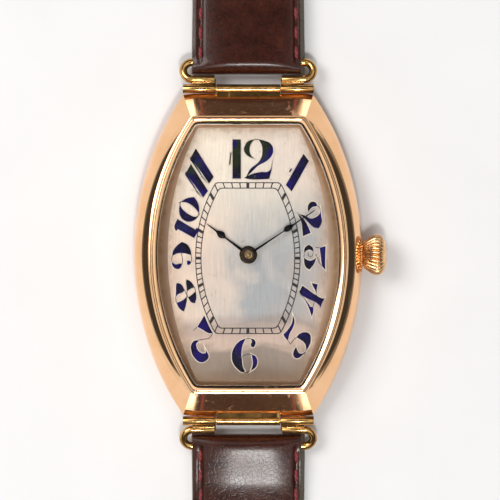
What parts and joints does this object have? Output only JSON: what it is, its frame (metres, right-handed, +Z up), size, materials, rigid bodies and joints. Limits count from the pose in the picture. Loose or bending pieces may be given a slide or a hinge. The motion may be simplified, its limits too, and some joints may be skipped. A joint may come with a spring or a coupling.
{
  "type": "tonneau wristwatch",
  "caption": "Barrel-shaped gold wristwatch with hinged wire strap loops, fluted crown, pear hands and a buckled leather strap laid flat.",
  "frame": {"origin": "under the hands' arbor on the flat rest face of the case back", "axes": "+X to 3 o'clock and the crown, +Y to 12 o'clock, +Z up through the dial"},
  "size_m": [0.0354, 0.2394, 0.0088],
  "materials": {
    "case_gold": "polished rose gold",
    "flange_gilt": "satin gilt",
    "crystal_glass": "clear polished",
    "dial_silver": "silvered, brushed and aged",
    "hand_steel": "dark blued, polished",
    "movement_nickel": "frosted",
    "wheel_brass": "gilt",
    "polished_steel": "polished",
    "spring_steel": "blued",
    "ruby": "polished",
    "strap_leather": "semi-gloss grained",
    "strap_lining": "matt"
  },
  "bodies": {
    "case": {"case_body": "case_gold", "case_back": "case_gold", "bezel": "case_gold", "crystal": "crystal_glass", "dial_flange": "flange_gilt", "dial": "dial_silver", "movement_ring": "movement_nickel", "movement_screws": "polished_steel", "main_plate": "movement_nickel", "barrel_bridge": "movement_nickel", "train_bridge": "movement_nickel", "balance_cock": "movement_nickel", "pallet_cock": "movement_nickel", "bridge_screws": "polished_steel", "jewels": "ruby", "regulator": "polished_steel", "crown_tube": "case_gold", "hinge_pin_12": "case_gold", "hinge_pin_6": "case_gold", "click_spring": "polished_steel", "hairspring": "spring_steel"},
    "minute": {"minute_hand": "hand_steel", "cannon_pinion": "polished_steel"},
    "hour": {"hour_hand": "hand_steel", "hour_wheel": "wheel_brass"},
    "minute_wheel": {"minute_wheel": "wheel_brass"},
    "setting_wheel": {"setting_wheel": "polished_steel"},
    "fourth_wheel": {"fourth_wheel": "wheel_brass"},
    "third_wheel": {"third_wheel": "wheel_brass"},
    "centre_wheel": {"centre_wheel": "wheel_brass"},
    "escape_wheel": {"escape_wheel": "polished_steel"},
    "barrel": {"mainspring_barrel": "wheel_brass", "barrel_cover": "wheel_brass", "mainspring": "spring_steel"},
    "pallet_fork": {"pallet_fork": "polished_steel"},
    "balance": {"balance_wheel": "wheel_brass"},
    "click": {"click": "polished_steel"},
    "winding_pinion": {"winding_pinion": "polished_steel"},
    "stem": {"winding_stem": "polished_steel", "crown": "case_gold"},
    "sliding_pinion": {"sliding_pinion": "polished_steel"},
    "crown_wheel": {"crown_wheel": "polished_steel"},
    "ratchet": {"ratchet_wheel": "polished_steel", "barrel_arbor": "polished_steel"},
    "setting_lever": {"setting_lever": "polished_steel"},
    "yoke": {"yoke": "polished_steel"},
    "loop_12": {"strap_loop_12": "case_gold"},
    "loop_6": {"strap_loop_6": "case_gold"},
    "strap_12": {"strap_12": "strap_leather", "strap_12_lining": "strap_lining", "fixed_keeper": "strap_leather", "buckle_pin": "case_gold"},
    "strap_6": {"strap_6": "strap_leather", "strap_6_lining": "strap_lining"},
    "buckle": {"buckle_frame": "case_gold"},
    "tongue": {"buckle_tongue": "case_gold"},
    "keeper": {"sliding_keeper": "strap_leather"}
  },
  "joints": [
    {"name": "minute_hand_turn", "type": "hinge", "parent": "case", "child": "minute", "pos_m": [0, 0, 0], "axis": [0, 0, -1], "continuous": true},
    {"name": "hour_hand_turn", "type": "hinge", "parent": "case", "child": "hour", "pos_m": [0, 0, 0], "axis": [0, 0, -1], "continuous": true},
    {"name": "minute_wheel_turn", "type": "hinge", "parent": "case", "child": "minute_wheel", "pos_m": [0.00275, -0.00128, 0], "axis": [0, 0, -1], "continuous": true},
    {"name": "setting_wheel_turn", "type": "hinge", "parent": "case", "child": "setting_wheel", "pos_m": [0.0057, -0.00087, 0], "axis": [0, 0, -1], "continuous": true},
    {"name": "fourth_wheel_turn", "type": "hinge", "parent": "case", "child": "fourth_wheel", "pos_m": [-0.00271, -0.00349, 0], "axis": [0, 0, -1], "continuous": true},
    {"name": "third_wheel_turn", "type": "hinge", "parent": "case", "child": "third_wheel", "pos_m": [-0.00473, 0, 0], "axis": [0, 0, -1], "continuous": true},
    {"name": "centre_wheel_turn", "type": "hinge", "parent": "case", "child": "centre_wheel", "pos_m": [0, 0, 0], "axis": [0, 0, -1], "continuous": true},
    {"name": "escape_wheel_turn", "type": "hinge", "parent": "case", "child": "escape_wheel", "pos_m": [-0.00335, -0.00711, 0], "axis": [0, 0, -1], "continuous": true},
    {"name": "barrel_turn", "type": "hinge", "parent": "case", "child": "barrel", "pos_m": [0.00225, 0.00483, 0], "axis": [0, 0, -1], "continuous": true},
    {"name": "pallet_fork_rock", "type": "hinge", "parent": "case", "child": "pallet_fork", "pos_m": [-0.00041, -0.00677, 0], "axis": [0, 0, 1], "range_deg": [-4, 4]},
    {"name": "balance_swing", "type": "hinge", "parent": "case", "child": "balance", "pos_m": [0.004, -0.00626, 0], "axis": [0, 0, 1], "range_deg": [-220, 220], "stiffness_Nm_per_rad": 0.00000012},
    {"name": "click_rock", "type": "hinge", "parent": "case", "child": "click", "pos_m": [-0.00061, 0.00849, 0], "axis": [0, 0, 1], "range_deg": [0, 8]},
    {"name": "crown_turn", "type": "hinge", "parent": "case", "child": "winding_pinion", "pos_m": [0, 0, 0.0037], "axis": [1, 0, 0], "continuous": true},
    {"name": "crown_pull", "type": "slide", "parent": "winding_pinion", "child": "stem", "axis": [1, 0, 0], "range_m": [0, 0.0009]},
    {"name": "sliding_pinion_shift", "type": "slide", "parent": "winding_pinion", "child": "sliding_pinion", "axis": [-1, 0, 0], "range_m": [0, 0.0007344]},
    {"name": "crown_wheel_turn", "type": "hinge", "parent": "case", "child": "crown_wheel", "pos_m": [0.00578, 0, 0], "axis": [0, 0, 1], "continuous": true},
    {"name": "ratchet_turn", "type": "hinge", "parent": "case", "child": "ratchet", "pos_m": [0.00225, 0.00483, 0], "axis": [0, 0, 1], "continuous": true},
    {"name": "setting_lever_turn", "type": "hinge", "parent": "case", "child": "setting_lever", "pos_m": [0.0093, -0.004, 0], "axis": [0, 0, -1], "range_deg": [0, 13.13]},
    {"name": "yoke_turn", "type": "hinge", "parent": "case", "child": "yoke", "pos_m": [0.0071, -0.0054, 0], "axis": [0, 0, 1], "range_deg": [0, 7.79]},
    {"name": "strap_loop_12_swing", "type": "hinge", "parent": "case", "child": "loop_12", "pos_m": [0, 0.02335, 0.0033], "axis": [1, 0, 0], "range_deg": [-60, 45]},
    {"name": "strap_12_swing", "type": "hinge", "parent": "loop_12", "child": "strap_12", "pos_m": [0, 0.02713, 0.00215], "axis": [1, 0, 0], "range_deg": [-30, 45]},
    {"name": "strap_loop_6_swing", "type": "hinge", "parent": "case", "child": "loop_6", "pos_m": [0, -0.02335, 0.0033], "axis": [-1, 0, 0], "range_deg": [-60, 45]},
    {"name": "strap_6_swing", "type": "hinge", "parent": "loop_6", "child": "strap_6", "pos_m": [0, -0.02698, 0.00175], "axis": [-1, 0, 0], "range_deg": [-30, 45]},
    {"name": "buckle_swing", "type": "hinge", "parent": "strap_12", "child": "buckle", "pos_m": [0, 0.09913, 0.0017], "axis": [1, 0, 0], "range_deg": [-45, 45]},
    {"name": "tongue_swing", "type": "hinge", "parent": "buckle", "child": "tongue", "pos_m": [0, 0.09913, 0.0017], "axis": [1, 0, 0], "range_deg": [0, 60]},
    {"name": "keeper_slide", "type": "slide", "parent": "strap_12", "child": "keeper", "axis": [0, 1, 0], "range_m": [-0.012, 0.006]}
  ],
  "couplings": [
    {"joint": "hour_hand_turn", "follows": "minute_hand_turn", "ratio": 0.083333},
    {"joint": "minute_wheel_turn", "follows": "minute_hand_turn", "ratio": -0.33333},
    {"joint": "setting_wheel_turn", "follows": "minute_hand_turn", "ratio": 0.83333},
    {"joint": "third_wheel_turn", "follows": "fourth_wheel_turn", "ratio": -0.13333},
    {"joint": "centre_wheel_turn", "follows": "fourth_wheel_turn", "ratio": 0.016667},
    {"joint": "barrel_turn", "follows": "fourth_wheel_turn", "ratio": -0.0027778},
    {"joint": "escape_wheel_turn", "follows": "fourth_wheel_turn", "ratio": -10},
    {"joint": "crown_wheel_turn", "follows": "crown_turn", "ratio": 0.53333},
    {"joint": "ratchet_turn", "follows": "crown_turn", "ratio": -0.38095},
    {"joint": "sliding_pinion_shift", "follows": "crown_pull", "ratio": 0.8},
    {"joint": "setting_lever_turn", "follows": "crown_pull", "rad_per_m": 249.69},
    {"joint": "yoke_turn", "follows": "crown_pull", "rad_per_m": 148.07}
  ]
}
